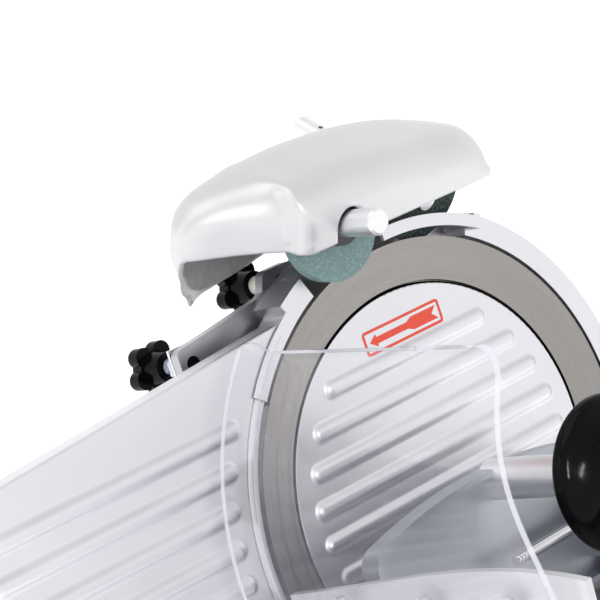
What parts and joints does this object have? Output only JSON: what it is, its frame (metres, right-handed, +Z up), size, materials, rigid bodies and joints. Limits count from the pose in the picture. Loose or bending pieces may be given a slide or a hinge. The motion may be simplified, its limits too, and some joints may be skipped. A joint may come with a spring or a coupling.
{
  "type": "food slicer",
  "caption": "Gravity-feed food slicer: inclined round blade with ribbed cover, gauge plate, sliding tray with clear guard and pusher, and a lift-off two-stone sharpener.",
  "frame": {"origin": "on the table under the centre of the object's bounding box", "axes": "+X along the carriage stroke, away from the operator; +Y towards the slice side; +Z up"},
  "size_m": [0.47, 0.4071, 0.3747],
  "materials": {
    "cast_aluminium": "satin",
    "blade_steel": "brushed round the axis",
    "polished_steel": "polished",
    "zinc_steel": "zinc plated",
    "black_plastic": "gloss",
    "clear_plastic": "clear",
    "black_rubber": "matte",
    "teal_grit": "gritty",
    "dark_grit": "gritty",
    "motor_paint": "painted",
    "bronze": "sintered",
    "green_button": "gloss",
    "red_button": "gloss"
  },
  "bodies": {
    "frame": {"base_casting": "cast_aluminium", "bottom_plate": "zinc_steel", "rubber_feet": "black_rubber", "foot_screws": "zinc_steel", "drive_housing": "cast_aluminium", "rear_cover": "cast_aluminium", "housing_screws": "zinc_steel", "motor_body": "motor_paint", "drive_belt": "black_rubber", "shaft_bearings": "zinc_steel", "blade_cover": "cast_aluminium", "ring_guard": "cast_aluminium", "stone_strap": "cast_aluminium", "knob_bracket": "polished_steel", "knob_spacers": "zinc_steel", "slice_deflector": "polished_steel", "gauge_guide_rods": "polished_steel", "slide_rod": "polished_steel", "guide_bar": "polished_steel", "switch_bezel": "black_plastic", "switch_body": "black_plastic", "cord_inlet": "black_plastic"},
    "blade": {"blade": "blade_steel", "blade_hub": "zinc_steel", "blade_pulley": "motor_paint", "blade_screws": "zinc_steel"},
    "rotor": {"motor_shaft": "polished_steel", "motor_pulley": "motor_paint"},
    "gauge": {"gauge_plate": "cast_aluminium", "gauge_support": "cast_aluminium", "gauge_slider": "cast_aluminium", "cam_follower": "zinc_steel"},
    "dial": {"index_dial": "black_plastic", "dial_shaft": "polished_steel", "index_cam": "black_plastic"},
    "carriage": {"carriage_tray": "cast_aluminium", "carriage_arm": "cast_aluminium", "slide_block": "cast_aluminium", "slide_bushes": "bronze", "clear_guard": "clear_plastic", "guard_screws": "zinc_steel", "pusher_rod": "polished_steel"},
    "carriage_knob": {"carriage_knob": "black_plastic"},
    "pusher_carrier": {"pusher_carrier": "polished_steel"},
    "pusher": {"pusher_plate": "cast_aluminium", "pusher_hinge": "cast_aluminium", "pusher_stem": "polished_steel", "pusher_handle": "black_plastic", "pusher_brace": "polished_steel"},
    "sharpener": {"sharpener_hood": "cast_aluminium", "sharpener_frame": "cast_aluminium"},
    "front_pin": {"front_pin": "polished_steel"},
    "front_stone": {"front_stone": "teal_grit"},
    "rear_pin": {"rear_pin": "polished_steel"},
    "rear_stone": {"rear_stone": "dark_grit"},
    "sharpener_knob": {"sharpener_knob": "black_plastic"},
    "deflector_knob": {"deflector_knob": "black_plastic"},
    "cover_knob": {"cover_knob": "black_plastic"},
    "start_button": {"start_button": "green_button"},
    "stop_button": {"stop_button": "red_button"}
  },
  "joints": [
    {"name": "blade_spin", "type": "hinge", "parent": "frame", "child": "blade", "pos_m": [0.055, 0.0195, 0.205], "axis": [0, -0.891, 0.454], "continuous": true},
    {"name": "motor_spin", "type": "hinge", "parent": "frame", "child": "rotor", "pos_m": [0.055, 0.0401, 0.09125], "axis": [0, -0.891, 0.454], "continuous": true},
    {"name": "gauge_slide", "type": "slide", "parent": "frame", "child": "gauge", "axis": [0, 0.891, -0.454], "range_m": [0, 0.012]},
    {"name": "dial_turn", "type": "hinge", "parent": "frame", "child": "dial", "pos_m": [-0.185, -0.01928, 0.04519], "axis": [1, 0, 0], "range_deg": [0, 300]},
    {"name": "carriage_slide", "type": "slide", "parent": "frame", "child": "carriage", "axis": [1, 0, 0], "range_m": [0, 0.22]},
    {"name": "carriage_knob_turn", "type": "hinge", "parent": "carriage", "child": "carriage_knob", "pos_m": [-0.047, -0.15, 0.07], "axis": [0, -1, 0], "range_deg": [0, 360]},
    {"name": "pusher_slide", "type": "slide", "parent": "carriage", "child": "pusher_carrier", "axis": [0, -0.891, 0.454], "range_m": [0, 0.105]},
    {"name": "pusher_swing", "type": "hinge", "parent": "pusher_carrier", "child": "pusher", "pos_m": [0.143, -0.05854, 0.17518], "axis": [0, 0.891, -0.454], "range_deg": [0, 60]},
    {"name": "sharpener_lift", "type": "slide", "parent": "frame", "child": "sharpener", "axis": [0, 0.454, 0.891], "range_m": [0, 0.03]},
    {"name": "front_pin_push", "type": "slide", "parent": "sharpener", "child": "front_pin", "axis": [0, 0.9272, -0.3746], "range_m": [0, 0.0022], "stiffness_N_per_m": 800},
    {"name": "front_stone_spin", "type": "hinge", "parent": "front_pin", "child": "front_stone", "pos_m": [0.021, 0.076, 0.34232], "axis": [0, -0.9272, 0.3746], "continuous": true},
    {"name": "rear_pin_push", "type": "slide", "parent": "sharpener", "child": "rear_pin", "axis": [0, -0.9936, -0.1132], "range_m": [0, 0.0015], "stiffness_N_per_m": 800},
    {"name": "rear_stone_spin", "type": "hinge", "parent": "rear_pin", "child": "rear_stone", "pos_m": [0.088, 0.07566, 0.33356], "axis": [0, 0.9936, 0.1132], "continuous": true},
    {"name": "sharpener_knob_turn", "type": "hinge", "parent": "frame", "child": "sharpener_knob", "pos_m": [0.01, 0.12103, 0.29412], "axis": [0, -0.891, 0.454], "range_deg": [0, 360]},
    {"name": "deflector_knob_turn", "type": "hinge", "parent": "frame", "child": "deflector_knob", "pos_m": [-0.059, 0.11217, 0.27675], "axis": [0, -0.891, 0.454], "range_deg": [0, 360]},
    {"name": "cover_knob_turn", "type": "hinge", "parent": "frame", "child": "cover_knob", "pos_m": [0.055, 0.09969, 0.16414], "axis": [0, -0.891, 0.454], "range_deg": [0, 360]},
    {"name": "start_press", "type": "slide", "parent": "frame", "child": "start_button", "axis": [1, 0, 0], "range_m": [0, 0.003], "stiffness_N_per_m": 500},
    {"name": "stop_press", "type": "slide", "parent": "frame", "child": "stop_button", "axis": [1, 0, 0], "range_m": [0, 0.003], "stiffness_N_per_m": 500}
  ],
  "couplings": [
    {"joint": "motor_spin", "follows": "blade_spin", "ratio": 2.2857},
    {"joint": "dial_turn", "follows": "gauge_slide", "rad_per_m": 436.33}
  ]
}
